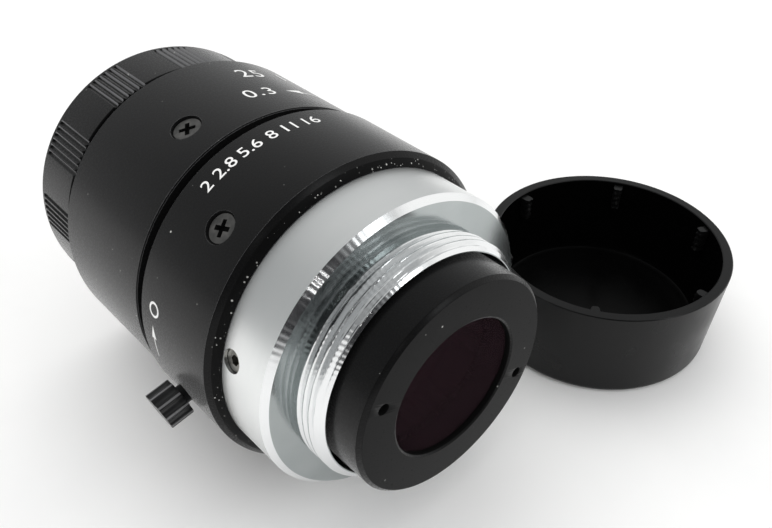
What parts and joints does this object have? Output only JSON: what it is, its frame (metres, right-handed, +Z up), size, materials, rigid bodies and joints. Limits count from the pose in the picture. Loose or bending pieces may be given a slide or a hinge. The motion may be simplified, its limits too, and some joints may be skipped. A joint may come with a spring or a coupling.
{
  "type": "machine vision lens",
  "caption": "Fixed-focal-length C-mount lens with turning focus and iris rings, two lock screws, an iris diaphragm and its rear cap standing beside it.",
  "frame": {"origin": "centre of the flange face, on the optical axis", "axes": "+X along the optical axis towards the camera, +Z up from the floor the lens lies on, +Y towards the rear cap"},
  "size_m": [0.0558, 0.0704, 0.034],
  "materials": {
    "black_anodised": "satin",
    "bright_aluminium": "satin",
    "black_steel": "satin",
    "steel": "satin",
    "blade_steel": "matt",
    "coated_glass": "polished",
    "black_plastic": "satin"
  },
  "bodies": {
    "mount_body": {"mount_barrel": "bright_aluminium", "set_screws": "steel", "main_barrel": "black_anodised", "guide_pin": "steel", "rear_cap": "black_plastic"},
    "focus_ring": {"focus_barrel": "black_anodised", "grip_ring": "black_anodised", "focus_barrel_screws": "black_steel"},
    "focus_lock": {"focus_lock_screw": "black_steel"},
    "iris_ring_body": {"iris_ring": "black_anodised", "iris_drive_screw": "black_steel"},
    "iris_lock": {"iris_lock_screw": "black_steel"},
    "optical_unit": {"lens_barrel": "black_anodised", "front_lens": "coated_glass", "front_retaining_ring": "black_anodised", "second_lens": "coated_glass", "front_spacer": "black_anodised", "iris_base": "black_anodised", "iris_snap_ring": "steel", "rear_cell": "black_anodised", "third_lens": "coated_glass", "rear_spacer": "black_anodised", "rear_lens": "coated_glass", "rear_retaining_ring": "black_anodised"},
    "cam_ring_body": {"iris_cam_ring": "steel"},
    "blade_1": {"iris_blade_1": "blade_steel"},
    "blade_2": {"iris_blade_2": "blade_steel"},
    "blade_3": {"iris_blade_3": "blade_steel"},
    "blade_4": {"iris_blade_4": "blade_steel"},
    "blade_5": {"iris_blade_5": "blade_steel"},
    "blade_6": {"iris_blade_6": "blade_steel"}
  },
  "joints": [
    {"name": "focus_turn", "type": "hinge", "parent": "mount_body", "child": "focus_ring", "pos_m": [-0.0258, 0, 0], "axis": [1, 0, 0], "range_deg": [0, 100]},
    {"name": "focus_slide", "type": "slide", "parent": "mount_body", "child": "optical_unit", "axis": [-1, 0, 0], "range_m": [0, 0.00167]},
    {"name": "iris_turn", "type": "hinge", "parent": "mount_body", "child": "iris_ring_body", "pos_m": [-0.0121, 0, 0], "axis": [-1, 0, 0], "range_deg": [0, 50]},
    {"name": "iris_cam_turn", "type": "hinge", "parent": "optical_unit", "child": "cam_ring_body", "pos_m": [-0.0137, 0, 0], "axis": [-1, 0, 0], "range_deg": [0, 50]},
    {"name": "focus_lock_turn", "type": "hinge", "parent": "focus_ring", "child": "focus_lock", "pos_m": [-0.02541, 0.01524, -0.01067], "axis": [0, 0.8192, -0.5736], "range_deg": [0, 270]},
    {"name": "iris_lock_turn", "type": "hinge", "parent": "iris_ring_body", "child": "iris_lock", "pos_m": [-0.0124, -0.01829, -0.00389], "axis": [0, -0.9781, -0.2079], "range_deg": [0, 270]},
    {"name": "blade_1_turn", "type": "hinge", "parent": "optical_unit", "child": "blade_1", "pos_m": [-0.0146, 0, 0.01], "axis": [-1, 0, 0], "range_deg": [0, 23.66]},
    {"name": "blade_2_turn", "type": "hinge", "parent": "optical_unit", "child": "blade_2", "pos_m": [-0.0146, -0.00866, 0.005], "axis": [-1, 0, 0], "range_deg": [0, 23.66]},
    {"name": "blade_3_turn", "type": "hinge", "parent": "optical_unit", "child": "blade_3", "pos_m": [-0.0146, -0.00866, -0.005], "axis": [-1, 0, 0], "range_deg": [0, 23.66]},
    {"name": "blade_4_turn", "type": "hinge", "parent": "optical_unit", "child": "blade_4", "pos_m": [-0.0146, 0, -0.01], "axis": [-1, 0, 0], "range_deg": [0, 23.66]},
    {"name": "blade_5_turn", "type": "hinge", "parent": "optical_unit", "child": "blade_5", "pos_m": [-0.0146, 0.00866, -0.005], "axis": [-1, 0, 0], "range_deg": [0, 23.66]},
    {"name": "blade_6_turn", "type": "hinge", "parent": "optical_unit", "child": "blade_6", "pos_m": [-0.0146, 0.00866, 0.005], "axis": [-1, 0, 0], "range_deg": [0, 23.66]}
  ],
  "couplings": [
    {"joint": "focus_turn", "follows": "focus_slide", "rad_per_m": 1047.2},
    {"joint": "iris_cam_turn", "follows": "iris_turn", "ratio": 1},
    {"joint": "blade_1_turn", "follows": "iris_turn", "ratio": 0.47318},
    {"joint": "blade_2_turn", "follows": "iris_turn", "ratio": 0.47318},
    {"joint": "blade_3_turn", "follows": "iris_turn", "ratio": 0.47318},
    {"joint": "blade_4_turn", "follows": "iris_turn", "ratio": 0.47318},
    {"joint": "blade_5_turn", "follows": "iris_turn", "ratio": 0.47318},
    {"joint": "blade_6_turn", "follows": "iris_turn", "ratio": 0.47318}
  ]
}
